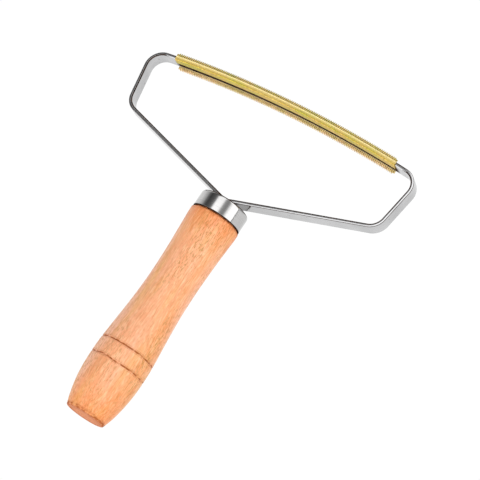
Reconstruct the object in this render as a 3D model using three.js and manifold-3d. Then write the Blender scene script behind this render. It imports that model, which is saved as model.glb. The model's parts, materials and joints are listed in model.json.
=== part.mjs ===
// Lint brush: a turned wooden handle, a drawn steel ferrule, and a loop bent from one flat steel strip whose
// bowed top bar carries two toothed brass blades. All sizes are in millimetres.
import * as THREE from 'three';
import { mergeVertices } from 'three/addons/utils/BufferGeometryUtils.js';
import Module from 'manifold-3d';

// Driving dimensions. The brush is drawn flat: x runs across the head, y along the handle's axis from the
// ferrule's closed top (y = 0) towards the head, and z out of the plane of the loop.

// Clearance between pieces that touch, are pressed or are glued together
const seatGap = 0.3;

// Loop of flat steel strip, measured to the middle of its thickness
const stripThickness = 1.6;
const stripWidth = 7.4;
const barCornerX = 73.8;      // where the bar and the side would meet if their bend were sharp
const barCornerY = 49.4;
const barBow = 4.6;           // rise of the bar's middle above its two corners
const barCornerRadius = 7.5;
const elbowX = 68.9;          // where the side and the arm would meet if their bend were sharp
const elbowY = 21.1;
const elbowRadius = 7.5;
const rootHollow = 1.2;       // inside radius of the bend from the arm down into the tang
const rootDrop = 0.6;         // how far below the ferrule's top that bend starts
const tangDepth = 46;         // tang below the ferrule's top

// Brass blades: a flat web on the strip's face and a toothed lip round the strip's edge
const bladeLength = 121.9;
const bladeSheet = 0.45;
const webCover = 3.6;         // how much of the strip's width a web covers
const lipStand = 1.55;        // how far the teeth stand beyond the strip's far face
const toothPitch = 0.95;
const toothTip = 0.4;         // flat across a tooth's end
const slotFloor = 0.25;       // flat across the floor of the slot between two teeth
const toothDepth = 0.6;

// Ferrule: a drawn cup, closed end towards the head
const ferruleRadius = 12;
const ferruleLength = 8.8;
const ferruleWall = 0.6;
const ferruleEdge = 1.4;      // rounding of the closed end, outside

// Handle, measured down from the ferrule's open rim
const woodLength = 105.6;
const shoulderRadius = 12.3;
const shoulderLand = 3;       // straight stretch below the ferrule
const shoulderEdge = 0.4;     // rounding of the shoulder at the ferrule
const waistRadius = 11.05;
const waistAt = 32;
const bellyRadius = 13.45;
const bellyAt = 78.5;
const buttRadius = 9.4;
const buttEdge = 0.7;         // rounding of the butt's rim
const grooveAt = 71.6;        // first scribed groove
const grooveSpacing = 8.3;
const grooveWidth = 1;
const grooveDepth = 0.4;
const boreRadius = 5.5;       // hole drilled for the tangs
const glueFloor = 2.5;        // adhesive under the ends of the tangs

// How round stretches are divided
const roundSegments = 40;
const bendSteps = 8;
const barSteps = 12;
const edgeSteps = 3;
const stationSpacing = 4.5;   // along the handle
const joinTolerance = 1e-4;   // points of one mesh closer than this are one point

// The turned profile falls from the shoulder, swells into the belly and closes in to the butt
const shoulderFall = 1.6;
const bellySwell = 1.3;
const buttFall = 2.45;

const wasm = await Module();
wasm.setup();

// Drops what the solid doesn't need from a geometry and joins its seams
function solidFrom(geometry) {
  geometry.deleteAttribute('normal');
  geometry.deleteAttribute('uv');
  const merged = mergeVertices(geometry, joinTolerance);
  const corners = merged.index.array;
  const triVerts = [];
  for (let i = 0; i < corners.length; i += 3) {
    const [a, b, c] = corners.slice(i, i + 3);
    if (a !== b && b !== c && c !== a) triVerts.push(a, b, c);
  }
  const vertProperties = new Float32Array(merged.attributes.position.array);
  return new wasm.Manifold(new wasm.Mesh({ numProp: 3, vertProperties, triVerts: new Uint32Array(triVerts) }));
}

function geometryFrom(solid) {
  const { vertProperties, triVerts } = solid.getMesh();
  const geometry = new THREE.BufferGeometry();
  geometry.setAttribute('position', new THREE.BufferAttribute(vertProperties, 3));
  geometry.setIndex(new THREE.BufferAttribute(triVerts, 1));
  geometry.computeVertexNormals();
  return geometry;
}

// A flat outline in the plane of the loop, made solid between two heights
function plate(outline, zFrom, zTo) {
  const depth = Math.abs(zTo - zFrom);
  const geometry = new THREE.ExtrudeGeometry(new THREE.Shape(outline), { depth, bevelEnabled: false });
  return geometry.translate(0, 0, Math.min(zFrom, zTo));
}

// A turned piece, with one of its flats straight down
function turned(outline) {
  return new THREE.LatheGeometry(outline, roundSegments, Math.PI / roundSegments);
}

function cornerArc(centreX, centreY, radius, fromAngle, toAngle) {
  const points = [];
  for (let i = 0; i <= edgeSteps; i += 1) {
    const angle = THREE.MathUtils.lerp(fromAngle, toAngle, i / edgeSteps);
    points.push(new THREE.Vector2(centreX + radius * Math.cos(angle), centreY + radius * Math.sin(angle)));
  }
  return points;
}

const along = (heading) => new THREE.Vector2(Math.cos(heading), Math.sin(heading));
const leftOf = (heading) => new THREE.Vector2(-Math.sin(heading), Math.cos(heading));
const quarterTurn = Math.PI / 2;

// Right half of the strip's middle line, from the tang's end up to the middle of the bar, as a list of bends.
// A bend to the left, which is the inside of the loop, has a positive radius.
const tangX = (stripThickness + seatGap) / 2;
const rootRadius = rootHollow + stripThickness / 2;
const rootCentre = new THREE.Vector2(tangX + rootRadius, -rootDrop);
const elbow = new THREE.Vector2(elbowX, elbowY);
const barCorner = new THREE.Vector2(barCornerX, barCornerY);

// The arm runs from the elbow to touch the root bend from above
const rootToElbow = elbow.clone().sub(rootCentre);
const armHeading = rootToElbow.angle() - Math.asin(rootRadius / rootToElbow.length());
const sideHeading = barCorner.clone().sub(elbow).angle();
const elbowSetback = elbowRadius * Math.tan((sideHeading - armHeading) / 2);
const elbowCentre = elbow.clone()
  .addScaledVector(along(armHeading), -elbowSetback)
  .addScaledVector(leftOf(armHeading), elbowRadius);

// The bar is one shallow arc over both corners, and the corner bend touches that arc and the side
const barRadius = (barCornerX ** 2 + barBow ** 2) / (2 * barBow);
const barCentre = new THREE.Vector2(0, barCornerY + barBow - barRadius);
const besideCorner = barCorner.clone().addScaledVector(leftOf(sideHeading), barCornerRadius);
const reach = besideCorner.clone().sub(barCentre);
const reachAlong = reach.dot(along(sideHeading));
const cornerShift = Math.sqrt(reachAlong ** 2 - reach.lengthSq() + (barRadius - barCornerRadius) ** 2) - reachAlong;
const cornerCentre = besideCorner.clone().addScaledVector(along(sideHeading), cornerShift);
const barHeading = cornerCentre.clone().sub(barCentre).angle() + quarterTurn;

const bends = [
  { centre: rootCentre, radius: -rootRadius, from: quarterTurn, to: armHeading, steps: bendSteps },
  { centre: elbowCentre, radius: elbowRadius, from: armHeading, to: sideHeading, steps: bendSteps },
  { centre: cornerCentre, radius: barCornerRadius, from: sideHeading, to: barHeading, steps: bendSteps },
  { centre: barCentre, radius: barRadius, from: barHeading, to: 2 * quarterTurn, steps: barSteps },
];

// One face of the strip's right half, offset from the middle line towards the inside of the loop
function halfLoop(offset) {
  const points = [new THREE.Vector2(tangX - offset, -tangDepth)];
  for (const { centre, radius, from, to, steps } of bends) {
    for (let i = 0; i <= steps; i += 1) {
      const heading = THREE.MathUtils.lerp(from, to, i / steps);
      points.push(centre.clone().addScaledVector(leftOf(heading), offset - radius));
    }
  }
  return points;
}

// A whole face: the right half, and its mirror image back down to the other tang
function wholeLoop(offset) {
  const right = halfLoop(offset);
  const left = right.slice(0, -1).reverse().map((point) => new THREE.Vector2(-point.x, point.y));
  return [...right, ...left];
}

function frameStrip() {
  const outline = [...wholeLoop(-stripThickness / 2), ...wholeLoop(stripThickness / 2).reverse()];
  return plate(outline, -stripWidth / 2, stripWidth / 2);
}

// A point beside the bar: how far along it from its middle, and how far out from the strip's middle line
function besideBar(distance, out) {
  const angle = distance / barRadius;
  return new THREE.Vector2(Math.sin(angle), Math.cos(angle)).multiplyScalar(barRadius + out).add(barCentre);
}

function edgeAlongBar(out, steps) {
  const points = [];
  for (let i = 0; i <= steps; i += 1) {
    points.push(besideBar(bladeLength * (i / steps - 0.5), out));
  }
  return points;
}

// A toothed edge: each pitch has one tapered tooth, with half a slot on either side of it
function toothedEdge(tipOut, valleyOut) {
  const teeth = Math.round(bladeLength / toothPitch);
  const pitch = bladeLength / teeth;
  const tooth = [
    { across: -(pitch - slotFloor) / 2, out: valleyOut },
    { across: -toothTip / 2, out: tipOut },
    { across: toothTip / 2, out: tipOut },
    { across: (pitch - slotFloor) / 2, out: valleyOut },
  ];
  const ends = [-bladeLength / 2, bladeLength / 2].map((end) => besideBar(end, valleyOut));
  const points = [];
  for (let i = 0; i < teeth; i += 1) {
    const middle = pitch * (i + 0.5) - bladeLength / 2;
    points.push(...tooth.map(({ across, out }) => besideBar(middle + across, out)));
  }
  return [ends[0], ...points, ends[1]];
}

// One blade. Side is +1 for the one on the strip's outer face, whose lip goes round the edge at -z, and -1 for
// the one on the inner face, whose lip goes round the edge at +z.
function blade(side) {
  const webNear = side * (stripThickness / 2 + seatGap);
  const webFar = webNear + side * bladeSheet;
  const tip = -side * (stripThickness / 2 + lipStand);
  const valley = tip + side * toothDepth;
  const lipInside = -side * (stripWidth / 2 + seatGap);
  const lipOutside = lipInside - side * bladeSheet;
  const webEdge = side * (webCover - stripWidth / 2);
  const webOutline = [...edgeAlongBar(webNear, barSteps), ...edgeAlongBar(webFar, barSteps).reverse()];
  const lipOutline = [...toothedEdge(tip, valley), ...edgeAlongBar(webFar, barSteps).reverse()];
  const web = solidFrom(plate(webOutline, lipOutside, webEdge));
  const lip = solidFrom(plate(lipOutline, lipOutside, lipInside));
  return geometryFrom(web.add(lip));
}

// Slot for both tangs, from yLow to yHigh. Where the root bend starts inside it, it also clears the spread that
// the bend's hollow side has reached at the ferrule's top.
const rootSpread = rootHollow - Math.sqrt(rootHollow ** 2 - rootDrop ** 2);

function tangSlot(yLow, yHigh) {
  const halfThickness = tangX + stripThickness / 2 + rootSpread + seatGap;
  const slot = new THREE.BoxGeometry(2 * halfThickness, yHigh - yLow, stripWidth + 2 * seatGap);
  return solidFrom(slot.translate(0, (yLow + yHigh) / 2, 0));
}

function ferrule() {
  const innerRadius = ferruleRadius - ferruleWall;
  const innerEdge = ferruleEdge - ferruleWall;
  const outline = [
    new THREE.Vector2(0, -ferruleWall),
    ...cornerArc(innerRadius - innerEdge, -ferruleEdge, innerEdge, quarterTurn, 0),
    new THREE.Vector2(innerRadius, -ferruleLength),
    new THREE.Vector2(ferruleRadius, -ferruleLength),
    ...cornerArc(ferruleRadius - ferruleEdge, -ferruleEdge, ferruleEdge, 0, quarterTurn),
    new THREE.Vector2(0, 0),
  ];
  const cup = solidFrom(turned(outline));
  return geometryFrom(cup.subtract(tangSlot(-2 * ferruleWall, ferruleWall)));
}

// Heights that the handle, its bore and the adhesive share
const spigotTop = -ferruleWall - seatGap;
const rimY = -ferruleLength - seatGap;
const buttY = rimY - woodLength;
const plugFloor = -tangDepth - seatGap - glueFloor;

// Radius of the turned wood at a distance below the ferrule, without its grooves
function woodRadius(distance) {
  if (distance < shoulderLand) return shoulderRadius;
  if (distance < waistAt) {
    const share = (waistAt - distance) / (waistAt - shoulderLand);
    return waistRadius + (shoulderRadius - waistRadius) * share ** shoulderFall;
  }
  if (distance < bellyAt) {
    const share = ((distance - waistAt) / (bellyAt - waistAt)) ** bellySwell;
    return THREE.MathUtils.lerp(waistRadius, bellyRadius, THREE.MathUtils.smoothstep(share, 0, 1));
  }
  return bellyRadius - (bellyRadius - buttRadius) * ((distance - bellyAt) / (woodLength - bellyAt)) ** buttFall;
}

// The wood's side from the butt up to the shoulder, with the scribed grooves cut in
function woodSide() {
  const grooves = [grooveAt, grooveAt + grooveSpacing];
  const stations = [];
  const count = Math.round(woodLength / stationSpacing);
  for (let i = 0; i <= count; i += 1) {
    const distance = THREE.MathUtils.lerp(shoulderEdge, woodLength - buttEdge, i / count);
    const clearOfGrooves = grooves.every((groove) => Math.abs(distance - groove) > grooveWidth);
    if (clearOfGrooves) stations.push({ distance, radius: woodRadius(distance) });
  }
  for (const groove of grooves) {
    for (const share of [-0.5, 0, 0.5]) {
      const distance = groove + share * grooveWidth;
      const cut = share === 0 ? grooveDepth : 0;
      stations.push({ distance, radius: woodRadius(distance) - cut });
    }
  }
  stations.sort((a, b) => b.distance - a.distance);
  return stations.map(({ distance, radius }) => new THREE.Vector2(radius, rimY - distance));
}

const woodOutline = woodSide();
const shoulder = woodOutline[woodOutline.length - 1];

function handle() {
  const spigotRadius = ferruleRadius - ferruleWall - seatGap;
  const spigotEdge = ferruleEdge - ferruleWall;
  const rim = woodOutline[0];
  const boreFloor = plugFloor - seatGap;
  return turned([
    new THREE.Vector2(0, buttY),
    ...cornerArc(rim.x - buttEdge, buttY + buttEdge, buttEdge, -quarterTurn, 0).slice(0, -1),
    ...woodOutline,
    ...cornerArc(shoulder.x - shoulderEdge, rimY - shoulderEdge, shoulderEdge, 0, quarterTurn).slice(1),
    new THREE.Vector2(spigotRadius, rimY),
    ...cornerArc(spigotRadius - spigotEdge, spigotTop - spigotEdge, spigotEdge, 0, quarterTurn),
    new THREE.Vector2(boreRadius, spigotTop),
    new THREE.Vector2(boreRadius, boreFloor),
    new THREE.Vector2(0, boreFloor),
  ]);
}

// Cured adhesive that fills the bore round the tangs
function adhesivePlug() {
  const plugRadius = boreRadius - seatGap;
  const outline = [
    new THREE.Vector2(0, plugFloor),
    new THREE.Vector2(plugRadius, plugFloor),
    new THREE.Vector2(plugRadius, spigotTop),
    new THREE.Vector2(0, spigotTop),
  ];
  const slot = tangSlot(-tangDepth - seatGap, seatGap);
  return geometryFrom(solidFrom(turned(outline)).subtract(slot));
}

function piece(name, geometry, color, roughness, metalness) {
  const mesh = new THREE.Mesh(geometry, new THREE.MeshStandardMaterial({ color, roughness, metalness }));
  mesh.name = name;
  return mesh;
}

const flatBrush = new THREE.Group();
flatBrush.add(
  piece('handle', handle(), 0xf2b184, 0.55, 0),
  piece('ferrule', ferrule(), 0xcfd0d2, 0.15, 1),
  piece('frame_strip', frameStrip(), 0xc4c4c6, 0.25, 1),
  piece('inner_blade', blade(-1), 0xd9b85c, 0.35, 1),
  piece('outer_blade', blade(1), 0xd9b85c, 0.35, 1),
  piece('adhesive_plug', adhesivePlug(), 0xd8c08a, 0.5, 0),
);

// The brush lies as it would on a table, on the handle's shoulder and belly: the line under both gives its tilt
const slopes = woodOutline.slice(0, -1).map(({ x, y }) => (x - shoulder.x) / (shoulder.y - y));
flatBrush.rotation.x = -Math.atan(Math.max(...slopes));

// The origin is under the middle of the lying brush
const lintBrush = new THREE.Group();
lintBrush.add(flatBrush);
const box = new THREE.Box3().setFromObject(lintBrush, true);
const middle = box.getCenter(new THREE.Vector3());
flatBrush.position.set(-middle.x, -middle.y, -box.min.z);

export default lintBrush;
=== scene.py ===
import bmesh
import bpy
import json
import math
from mathutils import Matrix, Vector


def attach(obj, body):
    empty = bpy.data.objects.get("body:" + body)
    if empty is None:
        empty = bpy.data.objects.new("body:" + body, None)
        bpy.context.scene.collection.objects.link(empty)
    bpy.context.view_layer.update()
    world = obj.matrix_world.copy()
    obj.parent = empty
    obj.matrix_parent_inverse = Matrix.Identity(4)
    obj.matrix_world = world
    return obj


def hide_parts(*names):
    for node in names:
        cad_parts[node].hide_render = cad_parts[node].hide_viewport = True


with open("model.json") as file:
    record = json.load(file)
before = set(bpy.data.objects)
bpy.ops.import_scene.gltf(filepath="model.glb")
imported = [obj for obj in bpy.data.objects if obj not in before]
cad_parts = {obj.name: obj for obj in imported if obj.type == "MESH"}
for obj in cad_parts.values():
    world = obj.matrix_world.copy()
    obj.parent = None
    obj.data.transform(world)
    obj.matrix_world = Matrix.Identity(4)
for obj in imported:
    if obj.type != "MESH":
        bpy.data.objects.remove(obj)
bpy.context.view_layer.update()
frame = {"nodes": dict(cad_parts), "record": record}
mm = 0.001
joinGap = 0.01 * mm  # points closer than this are merged
bpy.context.scene.view_settings.view_transform = "Standard"
print("frame loaded:", ", ".join(sorted(frame["nodes"])))


# small tools for modelling

def alone(piece):  # only this piece is selected and active
    bpy.ops.object.select_all(action="DESELECT")
    piece.select_set(True)
    bpy.context.view_layer.objects.active = piece


def drawOutline(name, outline):  # from one point, extruded from point to point
    bpy.ops.object.select_all(action="DESELECT")
    bpy.ops.mesh.primitive_plane_add(size=mm, location=(0, 0, 0))
    piece = bpy.context.object
    piece.name = name
    piece.data.name = name
    bpy.ops.object.mode_set(mode="EDIT")
    bpy.ops.mesh.select_mode(type="VERT")
    bpy.ops.mesh.select_all(action="SELECT")
    bpy.ops.mesh.merge(type="CENTER")
    bpy.ops.transform.translate(value=outline[0])
    for here, there in zip(outline, outline[1:]):
        bpy.ops.mesh.extrude_region_move(TRANSFORM_OT_translate={"value": there - here})
    return piece


def pick(piece, wanted):  # in edit mode, selects the points that are wanted by their place
    bpy.ops.mesh.select_all(action="DESELECT")
    bpy.ops.object.mode_set(mode="OBJECT")
    for point in piece.data.vertices:
        point.select = wanted(point.co)
    bpy.ops.object.mode_set(mode="EDIT")


def closeUp(piece):  # one skin with its faces outwards
    bpy.ops.mesh.select_all(action="SELECT")
    bpy.ops.mesh.remove_doubles(threshold=joinGap)
    bpy.ops.mesh.normals_make_consistent(inside=False)
    if bmesh.from_edit_mesh(piece.data).calc_volume(signed=True) < 0:  # came out inside out
        bpy.ops.mesh.flip_normals()
    bpy.ops.object.mode_set(mode="OBJECT")


def turnOnLathe(name, outline, segments):
    piece = drawOutline(name, outline)
    bpy.ops.mesh.select_all(action="SELECT")
    bpy.ops.mesh.spin(steps=segments, angle=2 * math.pi, center=(0, 0, 0), axis=(0, 1, 0))
    closeUp(piece)
    return piece


def applyModifier(piece, kind, **settings):
    alone(piece)
    bpy.ops.object.modifier_add(type=kind)
    modifier = piece.modifiers[-1]
    for name, value in settings.items():
        setattr(modifier, name, value)
    bpy.ops.object.modifier_apply(modifier=modifier.name)


def layDown(piece, smoothAngle):  # to its place on the table, with its edges kept crisp
    alone(piece)
    bpy.ops.object.shade_smooth_by_angle(angle=math.radians(smoothAngle))
    applyModifier(piece, "WEIGHTED_NORMAL", keep_sharp=True)
    piece.matrix_world = lying
    bpy.ops.object.transform_apply(location=True, rotation=True, scale=True)


def fit(piece, node, material):  # stands for the solid of that name
    piece.data.materials.clear()
    piece.data.materials.append(material)
    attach(piece, "root")
    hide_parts(node)
    print(node, "done:", len(piece.data.polygons), "faces")


def arcPoints(centre, radius, fromAngle, toAngle, steps):  # in the plane of the outline, degrees
    points = []
    for i in range(steps + 1):
        angle = math.radians(fromAngle + (toAngle - fromAngle) * i / steps)
        points.append(centre + radius * Vector((math.cos(angle), math.sin(angle), 0)))
    return points


def paint(piece, name, amount):  # a float on each point, for the finishes
    layer = piece.data.attributes.new(name, "FLOAT", "POINT")
    layer.data.foreach_set("value", [amount(point.co) for point in piece.data.vertices])


# small tools for finishes

def newMaterial(name):
    material = bpy.data.materials.new(name)
    material.use_nodes = True
    return material, material.node_tree.nodes["Principled BSDF"]


def linkTo(owner, source, socket):
    owner.node_tree.links.new(source, socket)


def addNode(owner, kind, sockets, **settings):  # each socket is linked or set
    node = owner.node_tree.nodes.new("ShaderNode" + kind)
    for name, value in settings.items():
        setattr(node, name, value)
    for name, value in sockets.items():
        if isinstance(value, bpy.types.NodeSocket):
            linkTo(owner, value, node.inputs[name])
        else:
            node.inputs[name].default_value = value
    return node


def calc(owner, operation, first, second):
    return addNode(owner, "Math", {0: first, 1: second}, operation=operation).outputs[0]


def addRamp(owner, factor, stops):  # each stop is a place from 0 to 1 with a grey or a colour
    node = addNode(owner, "ValToRGB", {"Fac": factor})
    elements = node.color_ramp.elements
    for i, (place, colour) in enumerate(stops):
        stop = elements[i] if i < 2 else elements.new(place)
        stop.position = place
        stop.color = (*colour, 1) if isinstance(colour, tuple) else (colour, colour, colour, 1)
    return node.outputs["Color"]


def objectCoords(owner):
    return addNode(owner, "TexCoord", {}).outputs["Object"]


def grain(owner, coords, scale, detail, shift=(0, 0, 0)):  # noise with its own scale on each axis, per metre
    turned = {"Vector": coords, "Scale": scale, "Rotation": (-lean, 0, 0), "Location": shift}
    mapped = addNode(owner, "Mapping", turned).outputs["Vector"]
    return addNode(owner, "TexNoise", {"Vector": mapped, "Scale": 1, "Detail": detail}).outputs[0]


def mixColour(owner, factor, under, over, blend="MIX"):
    sockets = {0: factor, 6: under, 7: over}
    return addNode(owner, "Mix", sockets, data_type="RGBA", blend_type=blend).outputs[2]


def painted(owner, name):
    return addNode(owner, "Attribute", {}, attribute_name=name).outputs["Fac"]


def roughen(owner, shader, height, strength, depth):  # relief too fine to model
    bump = addNode(owner, "Bump", {"Height": height, "Strength": strength, "Distance": depth})
    linkTo(owner, bump.outputs["Normal"], shader.inputs["Normal"])


# The brush is modelled flat: x across the head, y up the handle from the ferrule's top, z out of the loop.
# Wooden handle, sizes measured down from the ferrule's rim.

wood = {
    "rimY": -9.1 * mm,
    "length": 105.6 * mm,
    "shoulderRadius": 12.3 * mm,
    "shoulderLand": 3 * mm,
    "shoulderEdge": 0.45 * mm,
    "waistRadius": 11.05 * mm,
    "waistAt": 32 * mm,
    "bellyRadius": 13.45 * mm,
    "bellyAt": 78.5 * mm,
    "buttRadius": 9.4 * mm,
    "buttEdge": 0.7 * mm,
    "shoulderFall": 1.6,  # how the profile falls to the waist, swells and closes in to the butt
    "bellySwell": 1.3,
    "buttFall": 2.45,
    "grooveAt": (71.6 * mm, 79.9 * mm),
    "grooveWidth": 0.95 * mm,
    "grooveDepth": 0.34 * mm,
    "grooveCurve": 1.5,  # higher makes the valley narrower
    "grooveSteps": 6,
    "grooveClear": 1.3,  # no plain station is nearer to a groove than this many groove widths
    "besideGroove": 0.85 * mm,  # a second scorch line
    "besideStations": (-1.2, -1, -0.8, 0.8, 1, 1.2),  # on each side of it
    "scorchReach": 0.64,  # to each side of a groove, in groove widths
    "scorchFade": 0.9,
    "besideHalf": 0.05 * mm,
    "besideScorch": 0.7,  # each scorch is from 0 to 1
    "buttRimDark": 1,
    "buttFaceDark": 0.1,
    "shoulderShadeReach": 0.27 * mm,
    "shoulderShade": 1,
    "underShoulderShade": 0.5,
    "buttTone": 20 * mm,  # deeper colour towards the ends, partly the wood's tone and partly painted shade
    "rimTone": 12 * mm,
    "endSkin": 0.1 * mm,  # end grain shows up to here from the butt face
    "wander": 0.9 * mm,  # grooves were cut by hand
    "wanderSize": 11 * mm,
    "uneven": 0.16 * mm,  # and the side isn't quite round
    "unevenSize": 24 * mm,
    "quietEnd": 2 * mm,  # both die out towards the ends
    "quietFade": 6 * mm,
    "spigotRadius": 11.1 * mm,
    "spigotTop": -0.9 * mm,
    "boreRadius": 5.5 * mm,
    "boreFloor": -49.1 * mm,
    "stations": 84,
    "segments": 144,
    "edgeSteps": (6, 5),  # at the butt and at the shoulder
    "smoothAngle": 50,
}

# The finished pieces are laid down on the table as the solids lie.
buttFace = next(mount for mount in frame["record"]["mounts"] if mount["name"] == "butt_face")
headward = -Vector(buttFace["axis"])
lean = math.atan2(headward.z, headward.y)
lying = (
    Matrix.Translation(buttFace["pos_m"])
    @ Matrix.Rotation(lean, 4, "X")
    @ Matrix.Translation((0, wood["length"] - wood["rimY"], 0))
)


def woodRadius(down):
    shoulder, waist, belly = wood["shoulderRadius"], wood["waistRadius"], wood["bellyRadius"]
    if down < wood["shoulderLand"]:
        return shoulder
    if down < wood["waistAt"]:
        share = (wood["waistAt"] - down) / (wood["waistAt"] - wood["shoulderLand"])
        return waist + (shoulder - waist) * share ** wood["shoulderFall"]
    if down < wood["bellyAt"]:
        share = ((down - wood["waistAt"]) / (wood["bellyAt"] - wood["waistAt"])) ** wood["bellySwell"]
        return waist + (belly - waist) * share * share * (3 - 2 * share)
    share = (down - wood["bellyAt"]) / (wood["length"] - wood["bellyAt"])
    return belly - (belly - wood["buttRadius"]) * share ** wood["buttFall"]


def scorchAt(co):  # how dark the wood is: burnt by the lathe tool at the grooves, darker at the butt's rim, painted shade on the shoulder under the ferrule
    down = wood["rimY"] - co.y
    reach = wood["scorchReach"] * wood["grooveWidth"]
    for groove in wood["grooveAt"]:
        away = abs(down - groove)
        if away < reach:
            return 1 - wood["scorchFade"] * (away / reach) ** 2
        if abs(away - wood["besideGroove"]) < wood["besideHalf"]:
            return wood["besideScorch"]
    # darker at the butt's rim and a little on its face
    if wood["length"] - down < wood["buttEdge"] + joinGap:
        onRim = math.hypot(co.x, co.z) > wood["buttRadius"] - wood["buttEdge"]
        return wood["buttRimDark"] if onRim else wood["buttFaceDark"]
    # painted shade on the shoulder, in the gap under the ferrule's rim
    if down < wood["shoulderShadeReach"]:
        return wood["shoulderShade"]
    if down < wood["shoulderEdge"] + joinGap:
        return wood["underShoulderShade"]
    return 0


def woodStations():  # down the side, with each groove as a rounded valley
    first, last = wood["shoulderEdge"], wood["length"] - wood["buttEdge"]
    width, steps = wood["grooveWidth"], wood["grooveSteps"]
    stations = []
    for i in range(wood["stations"] + 1):
        down = first + (last - first) * i / wood["stations"]
        if all(abs(down - groove) > wood["grooveClear"] * width for groove in wood["grooveAt"]):
            stations.append((down, woodRadius(down)))
    for groove in wood["grooveAt"]:
        for i in range(-steps // 2, steps // 2 + 1):
            down = groove + width * i / steps
            valley = math.cos(math.pi * i / steps) ** wood["grooveCurve"]
            stations.append((down, woodRadius(down) - wood["grooveDepth"] * valley))
        for out in wood["besideStations"]:
            down = groove + out * wood["besideGroove"]
            stations.append((down, woodRadius(down)))
    return sorted(stations)


def makeHandle(material):
    edge, rimY, top = wood["shoulderEdge"], wood["rimY"], wood["spigotTop"]
    buttY = rimY - wood["length"]
    side = [Vector((radius, rimY - down, 0)) for down, radius in reversed(woodStations())]
    buttCorner = Vector((side[0].x - wood["buttEdge"], buttY + wood["buttEdge"], 0))
    shoulderCorner = Vector((side[-1].x - edge, rimY - edge, 0))
    buttSteps, shoulderSteps = wood["edgeSteps"]
    outline = [Vector((0, buttY, 0)), Vector((buttCorner.x / 2, buttY, 0))]
    outline += arcPoints(buttCorner, wood["buttEdge"], -90, 0, buttSteps)[:-1] + side
    outline += arcPoints(shoulderCorner, edge, 0, 90, shoulderSteps)[1:]
    outline += [
        Vector((wood["spigotRadius"], rimY, 0)),
        Vector((wood["spigotRadius"], top, 0)),
        Vector((wood["boreRadius"], top, 0)),
        Vector((wood["boreRadius"], wood["boreFloor"], 0)),
        Vector((0, wood["boreFloor"], 0)),
    ]
    piece = turnOnLathe("turned_handle", outline, wood["segments"])

    # deeper colour towards both ends, partly the wood's tone and partly painted shade
    def endToneAt(co):
        return max(1 - (co.y - buttY) / wood["buttTone"], 1 - (rimY - co.y) / wood["rimTone"], 0)

    paint(piece, "scorchAndShade", scorchAt)
    paint(piece, "endGrain", lambda co: float(co.y < buttY + wood["endSkin"]))
    paint(piece, "endTone", endToneAt)
    free = piece.vertex_groups.new(name="side")  # all but the two ends
    for point in piece.data.vertices:
        fromEnd = min(point.co.y - buttY, rimY - point.co.y) - wood["quietEnd"]
        free.add([point.index], min(max(fromEnd / wood["quietFade"], 0), 1), "REPLACE")
    for direction, name in (("Y", "wander"), ("NORMAL", "uneven")):
        ripple = bpy.data.textures.new("turning_ripple", "CLOUDS")
        ripple.noise_scale = wood[name + "Size"]
        ripple.noise_depth = 1
        applyModifier(
            piece, "DISPLACE", texture=ripple, direction=direction,
            strength=wood[name], mid_level=0.5, vertex_group="side",
        )
    layDown(piece, wood["smoothAngle"])
    fit(piece, "handle", material)


# polished ferrule, a drawn cup with a slot for the tangs

cup = {
    "radius": 12 * mm,
    "length": 8.5 * mm,
    "wall": 0.6 * mm,
    "edge": 1.4 * mm,
    "rimEdge": 0.12 * mm,
    "rimShadeLine": 0.35 * mm,  # painted shade at the rim against the wood, to here
    "rimShadeFade": 1.4,  # and gone at this many times that height
    "topShadeShare": 0.5,  # and painted dark reflection on the top edge, down to this share of its rounding
    "slotThickness": 4.4 * mm,
    "slotWidth": 7.9 * mm,
    "slotCorner": 0.5 * mm,
    "slotCornerSteps": 4,
    "segments": 144,
    "edgeSteps": (6, 3, 10),  # inside the top, at the rim and outside the top
    "smoothAngle": 35,
}


def makeFerrule(material):
    wall, edge, radius, length = cup["wall"], cup["edge"], cup["radius"], cup["length"]
    inner, innerEdge, rim = radius - wall, edge - wall, cup["rimEdge"]
    innerSteps, rimSteps, outerSteps = cup["edgeSteps"]
    outline = [Vector((0, -wall, 0))]
    outline += arcPoints(Vector((inner - innerEdge, -edge, 0)), innerEdge, 90, 0, innerSteps)
    outline += arcPoints(Vector((inner + rim, rim - length, 0)), rim, 180, 270, rimSteps)
    outline += arcPoints(Vector((radius - rim, rim - length, 0)), rim, 270, 360, rimSteps)
    outline += [Vector((radius, share * cup["rimShadeLine"] - length, 0)) for share in (1, cup["rimShadeFade"])]
    outline += arcPoints(Vector((radius - edge, -edge, 0)), edge, 0, 90, outerSteps)
    outline.append(Vector((0, 0, 0)))
    piece = turnOnLathe("drawn_ferrule", outline, cup["segments"])

    # painted shade at the rim against the wood, and painted dark reflection on the top edge
    def rimPaintedShade(co):
        onTop = -cup["topShadeShare"] * edge < co.y < -joinGap
        return float(onTop or co.y < cup["rimShadeLine"] - length + joinGap / 2)

    paint(piece, "paintedShade", rimPaintedShade)

    bpy.ops.object.select_all(action="DESELECT")
    bpy.ops.mesh.primitive_cube_add(size=1, location=(0, 0, 0))
    cutter = bpy.context.object
    bpy.ops.object.mode_set(mode="EDIT")
    bpy.ops.transform.resize(value=(cup["slotThickness"], 4 * wall, cup["slotWidth"]))  # well through the top
    bpy.ops.mesh.select_mode(type="EDGE")
    bpy.ops.mesh.select_all(action="DESELECT")
    bpy.ops.object.mode_set(mode="OBJECT")
    for line in cutter.data.edges:  # the four edges that run along the handle
        ends = [cutter.data.vertices[i].co for i in line.vertices]
        line.select = abs(ends[0].y - ends[1].y) > wall
    bpy.ops.object.mode_set(mode="EDIT")
    bpy.ops.mesh.bevel(offset=cup["slotCorner"], segments=cup["slotCornerSteps"])
    bpy.ops.object.mode_set(mode="OBJECT")
    applyModifier(piece, "BOOLEAN", operation="DIFFERENCE", object=cutter, solver="EXACT")
    bpy.data.objects.remove(cutter)
    layDown(piece, cup["smoothAngle"])
    fit(piece, "ferrule", material)


# loop of flat steel strip, drawn along the middle of its thickness

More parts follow.
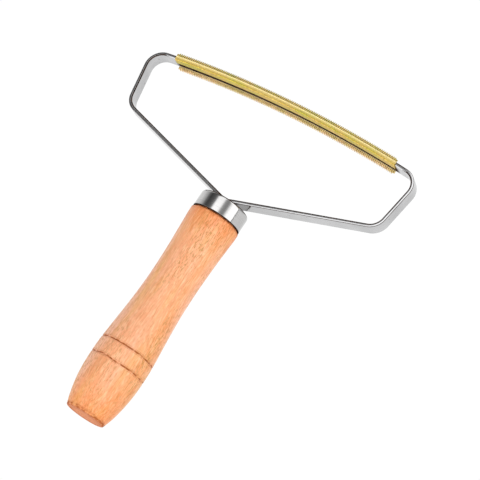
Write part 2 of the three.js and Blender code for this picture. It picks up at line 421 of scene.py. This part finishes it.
strip = {
    "thickness": 1.6 * mm,
    "width": 7.4 * mm,
    "cornerRound": 0.2 * mm,
    "crownTurn": 24,  # degrees that the slit edge's crown leans at its corners
    "edgeShadeDepth": 0.3 * mm,  # the painted dark reflection on the slit edge reaches this far down the faces
    "wideShadeFrom": 0.3,  # painted dark reflection from here on one side, as a share of half the thickness
    "thinShadeFrom": 0.8,  # and from here on the other
    "barCorner": Vector((73.8, 49.4, 0)) * mm,  # where bar and side would meet if the bend were sharp
    "barBow": 4.6 * mm,
    "cornerRadius": 7.5 * mm,
    "elbow": Vector((68.9, 21.1, 0)) * mm,  # where side and arm would meet
    "elbowRadius": 7.5 * mm,
    "rootRadius": 2 * mm,
    "rootDrop": 0.6 * mm,
    "tangX": 0.95 * mm,
    "tangDepth": 46 * mm,
    "slitShadeReach": 61 * mm,  # painted shade between the blades, along the bar and across it
    "slitShadeTop": 1.2 * mm,
    "glueFloor": -3 * mm,
    "slitShadeFade": 0.2 * mm,
    "cornerSteps": 3,
    "crownSteps": 10,
    "rootSteps": 10,
    "bendSteps": 18,
    "barSteps": 36,
    "smoothAngle": 40,
}


def heading(angle):
    return Vector((math.cos(angle), math.sin(angle), 0))


def leftOf(angle):
    return Vector((-math.sin(angle), math.cos(angle), 0))


def angleOf(direction):
    return math.atan2(direction.y, direction.x)


barRadius = (strip["barCorner"].x ** 2 + strip["barBow"] ** 2) / (2 * strip["barBow"])
barMiddle = strip["barCorner"].y + strip["barBow"]
barCentre = Vector((0, barMiddle - barRadius, 0))


def fromBar(co):  # how far out from the bar's middle line, and the angle along the bar
    away = co - barCentre
    return math.hypot(away.x, away.y) - barRadius, math.atan2(away.x, away.y)


def loopBends():  # right half, from the tang up to the middle of the bar
    rootCentre = Vector((strip["tangX"] + strip["rootRadius"], -strip["rootDrop"], 0))
    reach = strip["elbow"] - rootCentre
    arm = angleOf(reach) - math.asin(strip["rootRadius"] / reach.length)
    side = angleOf(strip["barCorner"] - strip["elbow"])
    setback = strip["elbowRadius"] * math.tan((side - arm) / 2)
    elbowCentre = strip["elbow"] - setback * heading(arm) + strip["elbowRadius"] * leftOf(arm)
    beside = strip["barCorner"] + strip["cornerRadius"] * leftOf(side)
    out = beside - barCentre
    along = out.dot(heading(side))
    inside = barRadius - strip["cornerRadius"]
    slide = math.sqrt(along ** 2 - out.length_squared + inside ** 2) - along
    cornerCentre = beside + slide * heading(side)
    bar = angleOf(cornerCentre - barCentre) + math.pi / 2
    return [
        (rootCentre, -strip["rootRadius"], math.pi / 2, arm, strip["rootSteps"]),
        (elbowCentre, strip["elbowRadius"], arm, side, strip["bendSteps"]),
        (cornerCentre, strip["cornerRadius"], side, bar, strip["bendSteps"]),
        (barCentre, barRadius, bar, math.pi, strip["barSteps"]),
    ]


def crownedEdge():  # across the thickness, from the outer face over the edge to the inner face
    half, corner, turn = strip["thickness"] / 2, strip["cornerRound"], strip["crownTurn"]
    crown = (half - corner) / math.sin(math.radians(turn)) + corner
    crownCentre = Vector((0, strip["width"] / 2 - crown, 0))
    aside = (crown - corner) * heading(math.radians(90 - turn))
    rounding = arcPoints(crownCentre + aside, corner, 0, 90 - turn, strip["cornerSteps"])
    crowning = arcPoints(crownCentre, crown, 90 - turn, 90 + turn, strip["crownSteps"])[1:-1]
    return rounding + crowning + [Vector((-point.x, point.y, 0)) for point in reversed(rounding)]


def onSlitEdge(co):
    return abs(co.z) > strip["width"] / 2 - strip["edgeShadeDepth"]


def edgeDarkReflection(co):  # painted dark reflection on the slit edges, on the strip's section where it starts at the tang's end
    across = (co.x - strip["tangX"]) / (strip["thickness"] / 2)
    return float(onSlitEdge(co) and (across < -strip["wideShadeFrom"] or across > strip["thinShadeFrom"]))


def barShadeAndReflection(co):  # on the bar: painted dark reflection on the outside of the slit edge, and painted shade on the inner face between the blades
    out = fromBar(co)[0]
    darkEdge = onSlitEdge(co) and out > strip["wideShadeFrom"] * strip["thickness"] / 2
    slack = strip["slitShadeFade"] / 2
    inSlitShade = strip["glueFloor"] - slack < co.z < strip["slitShadeTop"] + slack
    return float(darkEdge or (inSlitShade and out < 0 and abs(co.x) < strip["slitShadeReach"]))


def makeStrip(material):
    here = Vector((strip["tangX"], -strip["tangDepth"], 0))
    near = crownedEdge()
    fade, inner = strip["slitShadeFade"], -strip["thickness"] / 2
    # section points that bound the painted shade between the blades
    heights = (strip["slitShadeTop"] + fade, strip["slitShadeTop"], strip["glueFloor"], strip["glueFloor"] - fade)
    around = near + [Vector((inner, height, 0)) for height in heights]
    around += [Vector((point.x, -point.y, 0)) for point in reversed(near)]
    piece = drawOutline("steel_loop", [here + Vector((point.x, 0, point.y)) for point in around])
    bpy.ops.mesh.select_all(action="SELECT")
    bpy.ops.mesh.edge_face_add()
    bpy.ops.object.mode_set(mode="OBJECT")
    # painted dark reflection on the slit edges
    paint(piece, "paintedShade", edgeDarkReflection)
    bpy.ops.object.mode_set(mode="EDIT")
    bpy.ops.mesh.select_mode(type="FACE")
    bpy.ops.mesh.select_all(action="SELECT")
    for centre, radius, fromAngle, toAngle, steps in loopBends():
        start = centre - radius * leftOf(fromAngle)
        bpy.ops.mesh.extrude_region_move(TRANSFORM_OT_translate={"value": start - here})
        turn = fromAngle - toAngle  # minus turns left
        bpy.ops.mesh.spin(steps=steps, angle=turn, center=centre, axis=(0, 0, 1))
        here = centre - radius * leftOf(toAngle)
    bpy.ops.mesh.delete(type="ONLY_FACE")  # the open end at the middle of the bar
    bpy.ops.object.mode_set(mode="OBJECT")
    applyModifier(piece, "MIRROR", use_axis=(True, False, False), merge_threshold=joinGap)
    bpy.ops.object.mode_set(mode="EDIT")
    closeUp(piece)
    barHalf = math.pi - loopBends()[-1][2]  # angle from the bar's middle to its end
    # on the bar the paint is set again: painted dark reflection on the slit edge's outside, painted shade
    # between the blades
    paintedShade = piece.data.attributes["paintedShade"].data
    for point in piece.data.vertices:
        out, along = fromBar(point.co)
        if out > -strip["thickness"] and abs(along) < barHalf:
            paintedShade[point.index].value = barShadeAndReflection(point.co)
    layDown(piece, strip["smoothAngle"])
    fit(piece, "frame_strip", material)


# toothed brass blades, folded round the bar's two edges

blade = {
    "pitch": 0.95 * mm,
    "sheet": 0.4 * mm,
    "webGap": 0.05 * mm,  # to the strip's face
    "lipGap": 0.1 * mm,  # to the strip's edge
    "cover": 3.3 * mm,  # of the strip's width
    "fold": 0.35 * mm,  # outside radius
    "foldSteps": 4,
    "freeEdge": 0.1 * mm,
    "crestAt": 0.6 * mm,  # a pressed ridge below the teeth, out from the strip's middle
    "crestHalf": 0.26 * mm,
    "crestRise": 0.16 * mm,
    "lipRise": 0.28 * mm,  # from the fold up to the ridge
    "notch": 0.6 * mm,  # depth of the cut between two teeth
    "toothTip": 0.4 * mm,
    "slotFloor": 0.25 * mm,
    "tipThin": 0.13 * mm,  # taken off each face at the tips
    "fluteDepth": 0.13 * mm,
    "lastTooth": 0.75 * mm,  # shorter, so that the end looks rounded
    "slack": 0.02 * mm,  # when points are picked by place
    "smoothAngle": 35,
}


def bladeSection(x, tip, lift):  # across the bar: y out from the strip's middle, z to the near edge
    back = -(strip["thickness"] / 2 + blade["webGap"])
    front = back - blade["sheet"]
    lipBack = strip["width"] / 2 + blade["lipGap"]
    lipFront = lipBack + blade["sheet"]
    edge = strip["width"] / 2 - blade["cover"]
    fold, thin, chamfer = blade["fold"], blade["tipThin"], blade["freeEdge"]
    crest, half, root = blade["crestAt"], blade["crestHalf"], tip - blade["notch"]
    lower, upper = lipBack + blade["lipRise"], lipFront + blade["lipRise"]
    valley = upper - blade["crestRise"]
    rootLift = lift * (root - crest) / (tip - crest)
    points = [(back, edge), (back, lipBack), (crest, lower), (crest + 2 * half, lower)]
    points += [(root, lower + rootLift), (tip, lower + lift)]
    points += [(tip, upper - 2 * thin + lift), (root, valley + rootLift)]
    points += [(crest + half, valley), (crest, upper), (crest - half, valley)]
    for i in range(blade["foldSteps"] + 1):
        angle = math.pi / 2 * i / blade["foldSteps"]
        points.append((front + fold - fold * math.sin(angle), lipFront - fold + fold * math.cos(angle)))
    points += [(front, edge + chamfer), (front + chamfer, edge)]
    return [Vector((x, out, across)) for out, across in points]


def makeBlade(spec, material):
    pitch, turn, slack = blade["pitch"], spec["turn"], blade["slack"]
    flank = (pitch - blade["slotFloor"] - blade["toothTip"]) / 2
    tip = strip["thickness"] / 2 + spec["stand"]
    inSlot = blade["toothTip"] / 2 + slack
    fluteEnd = blade["crestAt"] + blade["crestHalf"] - slack
    piece = drawOutline(spec["name"], bladeSection(-pitch / 2, tip, spec["lift"]))
    bpy.ops.mesh.select_all(action="SELECT")
    bpy.ops.mesh.edge_face_add()
    for step in (blade["slotFloor"] / 2, flank, blade["toothTip"], flank, blade["slotFloor"] / 2):
        bpy.ops.mesh.extrude_region_move(TRANSFORM_OT_translate={"value": (step, 0, 0)})
    pick(piece, lambda co: abs(co.x) > inSlot and co.y > tip - slack)
    bpy.ops.transform.translate(value=(0, slack - blade["notch"], 0))  # the notch between two teeth
    middle = strip["width"] / 2 + blade["lipGap"] + blade["lipRise"]
    middle += (blade["sheet"] - blade["crestRise"]) / 2

    def fluted(co):
        return abs(co.x) > inSlot and co.y > fluteEnd

    def onFront(co):
        return co.z > middle + spec["lift"] * max(0, co.y - blade["crestAt"]) / (tip - blade["crestAt"])

    def highlightAndWearAt(co):  # painted highlight on the ridge, and bright worn tips
        fromRidge = abs(co.y - blade["crestAt"]) / (2 * blade["crestHalf"])
        return max(1 - fromRidge, spec["wornTips"] if co.y > tip - slack else 0, 0)

    pick(piece, lambda co: fluted(co) and not onFront(co))
    bpy.ops.transform.translate(value=(0, 0, blade["fluteDepth"] / 2))
    pick(piece, lambda co: fluted(co) and onFront(co))
    bpy.ops.transform.translate(value=(0, 0, -blade["fluteDepth"]))
    pick(piece, lambda co: abs(co.x) > pitch / 2 - slack)
    bpy.ops.mesh.select_mode(type="FACE")
    bpy.ops.mesh.delete(type="ONLY_FACE")  # the cell's two ends, where the next tooth joins on
    bpy.ops.object.mode_set(mode="OBJECT")
    # darker in the flutes
    paint(piece, "fluteDark", lambda co: spec["fluteDark"] if fluted(co) else 0)
    # painted highlight on the ridge, and worn tips
    paint(piece, "highlightAndWear", highlightAndWearAt)
    bpy.ops.object.mode_set(mode="EDIT")
    bpy.ops.mesh.select_mode(type="VERT")
    bpy.ops.mesh.select_all(action="SELECT")
    if turn < 0:
        bpy.ops.transform.resize(value=(1, -1, -1), center_override=(0, 0, 0))
    bpy.ops.transform.translate(value=(0, barMiddle, 0))
    sweep = (spec["teeth"] - 1) * pitch / barRadius
    shift = spec["slide"] / barRadius
    bpy.ops.transform.rotate(value=shift - sweep / 2, orient_axis="Z", center_override=barCentre)
    bpy.ops.mesh.spin(steps=spec["teeth"] - 1, dupli=True, angle=sweep, center=barCentre, axis=(0, 0, 1))
    bpy.ops.mesh.select_all(action="SELECT")
    bpy.ops.mesh.remove_doubles(threshold=joinGap)
    bpy.ops.mesh.fill_holes(sides=0)

    def onLastTooth(co):
        out, along = fromBar(co)
        aboveNotch = turn * out > tip - blade["notch"] + 4 * slack
        return aboveNotch and abs(along - shift) > (spec["teeth"] / 2 - 1) * pitch / barRadius

    pick(piece, onLastTooth)
    bpy.ops.transform.translate(value=(0, -turn * blade["lastTooth"], 0))
    closeUp(piece)
    layDown(piece, blade["smoothAngle"])
    fit(piece, spec["node"], material)


# the blade at the near edge, and the same turned over at the far edge; each slid a little along the bar
nearBlade = {
    "name": "near_blade", "node": "inner_blade", "turn": 1, "teeth": 128,
    "slide": -0.5 * mm, "stand": 1.55 * mm, "lift": 0,
    "fluteDark": 0.28, "wornTips": 1,
}
farBlade = {
    "name": "far_blade", "node": "outer_blade", "turn": -1, "teeth": 127,
    "slide": -1.3 * mm, "stand": 1.7 * mm, "lift": 0.45 * mm,
    "fluteDark": 0.42, "wornTips": 0,
}


# finishes; scales are per metre, and the stops of each pattern run from its low to its high places

ferruleSteel = {
    "name": "polished_steel", "colour": (0.57, 0.565, 0.56, 1),
    "lineScale": (60, 4000, 60), "smudges": ((0.35, 0.09), (0.7, 0.15)),
}
stripSteel = {
    "name": "strip_steel", "colour": (0.58, 0.58, 0.585, 1),
    "lineScale": (60, 60, 4500), "smudges": ((0.35, 0.12), (0.7, 0.2)),
}
steel = {
    "lines": ((0.3, 0.86), (0.7, 1.0)),
    "cloudScale": (70, 70, 70),
    "clouds": ((0.35, 0.86), (0.65, 1.04)),
    "speckScale": (520, 520, 520),
    "specks": ((0.71, 0), (0.75, 0.55)),
    "speckColour": (0.09, 0.08, 0.07, 1),
    "shadeScale": (420, 420, 420),
    "shadeTones": ((0.38, (0.016, 0.009, 0.007)), (0.62, (0.056, 0.033, 0.023))),
    "shadeRoughness": 0.8,
    "smudgeScale": (130, 130, 130),
    "relief": 0.12,
    "reliefDepth": 0.03 * mm,
}


def steelFinish(kind):  # painted shade and dark reflection are drawn in a dark colour, and aren't metal
    material, shader = newMaterial(kind["name"])
    coords = objectCoords(material)
    lines = grain(material, coords, kind["lineScale"], 3)
    tone = mixColour(material, 1, addRamp(material, lines, steel["lines"]), kind["colour"], "MULTIPLY")
    clouds = grain(material, coords, steel["cloudScale"], 4, (1, 2, 3))
    tone = mixColour(material, 1, tone, addRamp(material, clouds, steel["clouds"]), "MULTIPLY")
    specks = addRamp(material, grain(material, coords, steel["speckScale"], 2), steel["specks"])
    tone = mixColour(material, specks, tone, steel["speckColour"])
    # painted shade and painted dark reflection
    paintedShade = painted(material, "paintedShade")
    shadeTones = addRamp(material, grain(material, coords, steel["shadeScale"], 3, (4, 2, 6)), steel["shadeTones"])
    linkTo(material, mixColour(material, paintedShade, tone, shadeTones), shader.inputs["Base Color"])
    linkTo(material, calc(material, "SUBTRACT", 1, paintedShade), shader.inputs["Metallic"])
    shader.inputs["Specular IOR Level"].default_value = 0
    smudges = addRamp(material, grain(material, coords, steel["smudgeScale"], 3), kind["smudges"])
    dull = calc(material, "MULTIPLY", paintedShade, steel["shadeRoughness"])
    linkTo(material, calc(material, "ADD", smudges, dull), shader.inputs["Roughness"])
    roughen(material, shader, lines, steel["relief"], steel["reliefDepth"])
    return material


nearBrass = {
    "name": "satin_brass",
    "tones": (
        (0.36, (0.52, 0.45, 0.065)), (0.47, (0.62, 0.49, 0.075)),
        (0.56, (0.65, 0.44, 0.095)), (0.66, (0.7, 0.5, 0.12)),
    ),
}
# the far blade's copy of the brass is painted lighter and warmer, as painted light where the near blade
# shades it
farBrass = {
    "name": "brass_painted_lighter",
    "tones": (
        (0.36, (0.66, 0.5, 0.19)), (0.47, (0.74, 0.54, 0.22)),
        (0.56, (0.79, 0.52, 0.25)), (0.66, (0.82, 0.59, 0.3)),
    ),
}
brass = {
    "patchScale": (150, 260, 260),
    "speckleScale": (1250, 1250, 1250),
    "speckle": ((0.34, 0.74), (0.62, 1.08)),
    "highlightAndWearStrength": 0.85,
    "highlightAndWearColour": (0.84, 0.73, 0.4, 1),
    "fluteDarkStrength": 0.95,
    "fluteDarkColour": (0.07, 0.035, 0.012, 1),
    "roughness": ((0.3, 0.46), (0.7, 0.34)),
    "relief": 0.2,
    "reliefDepth": 0.05 * mm,
}


def brassFinish(kind):
    material, shader = newMaterial(kind["name"])
    coords = objectCoords(material)
    colour = addRamp(material, grain(material, coords, brass["patchScale"], 3), kind["tones"])
    speckle = grain(material, coords, brass["speckleScale"], 2)
    colour = mixColour(material, 1, colour, addRamp(material, speckle, brass["speckle"]), "MULTIPLY")
    # painted highlight on the ridge and worn tips, in a pale brass
    highlightAndWear = calc(material, "MULTIPLY", painted(material, "highlightAndWear"), brass["highlightAndWearStrength"])
    colour = mixColour(material, highlightAndWear, colour, brass["highlightAndWearColour"])
    # darker in the flutes
    fluteDark = calc(material, "MULTIPLY", painted(material, "fluteDark"), brass["fluteDarkStrength"])
    colour = mixColour(material, fluteDark, colour, brass["fluteDarkColour"])
    linkTo(material, colour, shader.inputs["Base Color"])
    shader.inputs["Metallic"].default_value = 1
    linkTo(material, addRamp(material, speckle, brass["roughness"]), shader.inputs["Roughness"])
    roughen(material, shader, speckle, brass["relief"], brass["reliefDepth"])
    return material


resin = {
    "cloudScale": (300, 300, 300),
    "tones": ((0.3, (0.42, 0.3, 0.13)), (0.7, (0.62, 0.5, 0.27))),
    "roughness": ((0.3, 0.25), (0.7, 0.45)),
    "relief": 0.3,
    "reliefDepth": 0.2 * mm,
}


def resinFinish():
    material, shader = newMaterial("cured_resin")
    clouds = grain(material, objectCoords(material), resin["cloudScale"], 4)
    linkTo(material, addRamp(material, clouds, resin["tones"]), shader.inputs["Base Color"])
    linkTo(material, addRamp(material, clouds, resin["roughness"]), shader.inputs["Roughness"])
    roughen(material, shader, clouds, resin["relief"], resin["reliefDepth"])
    return material


hardwood = {
    "streakScale": (85, 8, 85),
    "streaks": (
        (0.33, (0.73, 0.285, 0.095)), (0.44, (0.78, 0.33, 0.145)),
        (0.55, (0.8, 0.365, 0.2)), (0.67, (0.84, 0.45, 0.31)),
    ),
    "goldenScale": (160, 22, 160),
    "golden": ((0.5, 0), (0.68, 0.6)),
    "goldenColour": (0.75, 0.4, 0.145, 1),
    "fibreScale": (1300, 60, 1300),
    "fibres": ((0.3, (0.84, 0.74, 0.58)), (0.54, 1.0)),
    "fibreRelief": 0.4,
    "lightScale": (1900, 240, 1900),
    "lights": ((0.5, 0), (0.66, 0.4)),
    "lightColour": (0.9, 0.58, 0.35, 1),
    "fleckScale": (2500, 520, 2500),
    "flecks": ((0.51, 0), (0.64, 1)),
    "clusterScale": (110, 30, 110),
    "clusters": ((0.4, 0.4), (0.6, 1.25)),
    "poreStrength": 0.52,
    "poreColour": (0.36, 0.18, 0.04, 1),
    "endTint": (0.98, 0.79, 0.62, 1),
    "pith": (7 * mm, 0, -4 * mm),  # the year rings' middle is off the handle's axis
    "ringScale": 190,
    "ringDistortion": 1.6,
    # end-grain colours, darker than the wood's own end grain as painted shade on the butt face
    "rings": ((0, (0.44, 0.135, 0.05)), (0.6, (0.6, 0.215, 0.085))),
    "scorchAndShadeScale": (480, 900, 480),
    "scorchAndShadeBreaks": ((0.4, 0.15), (0.58, 1)),
    "scorchAndShadeColour": (0.34, 0.08, 0.01, 1),
    "roughness": ((0, 0.34), (1, 0.7)),  # from smooth wood to open grain
    "gloss": 0.35,
    "relief": 0.25,
    "reliefDepth": 0.12 * mm,
}


def woodFinish():
    material, shader = newMaterial("oiled_hardwood")
    coords = objectCoords(material)
    colour = addRamp(material, grain(material, coords, hardwood["streakScale"], 3), hardwood["streaks"])
    golden = grain(material, coords, hardwood["goldenScale"], 2, (5, 3, 1))
    golden = addRamp(material, golden, hardwood["golden"])
    colour = mixColour(material, golden, colour, hardwood["goldenColour"])
    fibres = grain(material, coords, hardwood["fibreScale"], 3)
    colour = mixColour(material, 1, colour, addRamp(material, fibres, hardwood["fibres"]), "MULTIPLY")
    lights = grain(material, coords, hardwood["lightScale"], 1, (2, 7, 5))
    lights = addRamp(material, lights, hardwood["lights"])
    colour = mixColour(material, lights, colour, hardwood["lightColour"])
    flecks = addRamp(material, grain(material, coords, hardwood["fleckScale"], 1), hardwood["flecks"])
    clusters = grain(material, coords, hardwood["clusterScale"], 2, (3, 1, 2))
    clusters = addRamp(material, clusters, hardwood["clusters"])
    pores = calc(material, "MULTIPLY", flecks, clusters)
    darkPores = calc(material, "MULTIPLY", pores, hardwood["poreStrength"])
    colour = mixColour(material, darkPores, colour, hardwood["poreColour"])
    # deeper colour towards the ends, partly painted shade
    colour = mixColour(material, painted(material, "endTone"), colour, hardwood["endTint"], "MULTIPLY")
    ringShift = {"Vector": coords, "Rotation": (-lean, 0, 0), "Location": hardwood["pith"]}
    ringSockets = {
        "Vector": addNode(material, "Mapping", ringShift).outputs["Vector"],
        "Scale": hardwood["ringScale"],
        "Distortion": hardwood["ringDistortion"],
        "Detail": 2,
        "Detail Scale": 2,
    }
    rings = addNode(material, "TexWave", ringSockets, wave_type="RINGS", rings_direction="Y").outputs[0]
    # end grain on the butt face, darkened further as painted shade
    endGrain = painted(material, "endGrain")
    colour = mixColour(material, endGrain, colour, addRamp(material, rings, hardwood["rings"]))
    breaks = grain(material, coords, hardwood["scorchAndShadeScale"], 3, (1, 4, 2))
    breaks = addRamp(material, breaks, hardwood["scorchAndShadeBreaks"])
    # lathe burns at the grooves, darker butt rim and painted shade on the shoulder
    scorchAndShade = calc(material, "MULTIPLY", painted(material, "scorchAndShade"), breaks)
    colour = mixColour(material, scorchAndShade, colour, hardwood["scorchAndShadeColour"])
    linkTo(material, colour, shader.inputs["Base Color"])
    openGrain = calc(material, "ADD", pores, calc(material, "ADD", scorchAndShade, endGrain))
    linkTo(material, addRamp(material, openGrain, hardwood["roughness"]), shader.inputs["Roughness"])
    shader.inputs["Specular IOR Level"].default_value = hardwood["gloss"]
    raised = calc(material, "MULTIPLY", fibres, hardwood["fibreRelief"])
    height = calc(material, "SUBTRACT", raised, pores)
    roughen(material, shader, height, hardwood["relief"], hardwood["reliefDepth"])
    return material


# camera and studio

cameraView = {
    "place": Vector((474.1, -227.3, 995.6)) * mm,
    "look": Vector((-0.4122, 0.2201, -0.8841)),
    "up": Vector((-0.4183, 0.8163, 0.3982)),
    "lens": 187.5,
    "sensor": 36,
}


def makeCamera():
    data = bpy.data.cameras.new("photo_camera")
    data.lens = cameraView["lens"]
    data.sensor_width = cameraView["sensor"]
    camera = bpy.data.objects.new("photo_camera", data)
    bpy.context.scene.collection.objects.link(camera)
    back = -cameraView["look"].normalized()
    right = cameraView["up"].cross(back).normalized()
    turned = Matrix((right, back.cross(right), back)).transposed()
    camera.matrix_world = Matrix.Translation(cameraView["place"]) @ turned.to_4x4()
    bpy.context.scene.camera = camera
    print("camera done")


studio = {
    "floorSize": 8,
    "floorGlow": 1.02,  # a light table, so that no shadow falls on it
    "strength": 2.35,
    # light round the handle's axis: degrees from straight up towards +x, and how bright
    "bands": (
        (-90, 0.35), (-87, 0.37), (-71, 0.22), (-63, 0.09), (-51, 0.03), (-39, 0.05), (-31, 0.07),
        (-22, 0.15), (-17, 0.6), (-12, 0.78), (9, 0.78), (14, 0.64), (19, 0.3), (25, 0.2),
        (35, 0.17), (41, 0.26), (48, 0.62), (56, 0.84), (86, 0.84), (87.5, 0.04), (90, 0.04),
    ),
    "slant": 40,  # degrees that the bands turn towards the butt's side
    "front": (0.85, 0.85, 0.85, 1),  # light from the butt's side itself
    "frontFade": ((0.35, 0), (0.5, 1)),  # where it takes over from the bands
}


def makeStudio():
    bpy.ops.object.select_all(action="DESELECT")
    bpy.ops.mesh.primitive_plane_add(size=studio["floorSize"], location=(0, 0, 0))
    floor = bpy.context.object
    floor.name = "studio_floor"
    material, shader = newMaterial("light_table")
    shader.inputs["Base Color"].default_value = (0, 0, 0, 1)
    shader.inputs["Roughness"].default_value = 1
    shader.inputs["Specular IOR Level"].default_value = 0
    shader.inputs["Emission Color"].default_value = (1, 1, 1, 1)
    shader.inputs["Emission Strength"].default_value = studio["floorGlow"]
    floor.data.materials.append(material)
    world = bpy.data.worlds.new("softboxes")
    world.use_nodes = True
    bpy.context.scene.world = world
    split = addNode(world, "SeparateXYZ", {0: addNode(world, "TexCoord", {}).outputs["Generated"]})
    buttward = calc(world, "MAXIMUM", calc(world, "MULTIPLY", split.outputs["Y"], -1), 0)
    slant = calc(world, "MULTIPLY", buttward, math.radians(studio["slant"]))
    angle = calc(world, "ADD", calc(world, "ARCTAN2", split.outputs["X"], split.outputs["Z"]), slant)
    turn = {"Value": angle, "From Min": -math.pi, "From Max": math.pi}
    bands = [((degrees + 180) / 360, bright) for degrees, bright in studio["bands"]]
    sky = addRamp(world, addNode(world, "MapRange", turn).outputs["Result"], bands)
    ahead = addRamp(world, buttward, studio["frontFade"])
    background = world.node_tree.nodes["Background"]
    linkTo(world, mixColour(world, ahead, sky, studio["front"]), background.inputs["Color"])
    background.inputs["Strength"].default_value = studio["strength"]
    print("studio done")


makeCamera()
makeHandle(woodFinish())
makeFerrule(steelFinish(ferruleSteel))
makeStrip(steelFinish(stripSteel))
makeBlade(nearBlade, brassFinish(nearBrass))
makeBlade(farBlade, brassFinish(farBrass))
plug = frame["nodes"]["adhesive_plug"]  # the solid's own shape is right
plug.data.materials.clear()
plug.data.materials.append(resinFinish())
print("adhesive_plug done")
makeStudio()
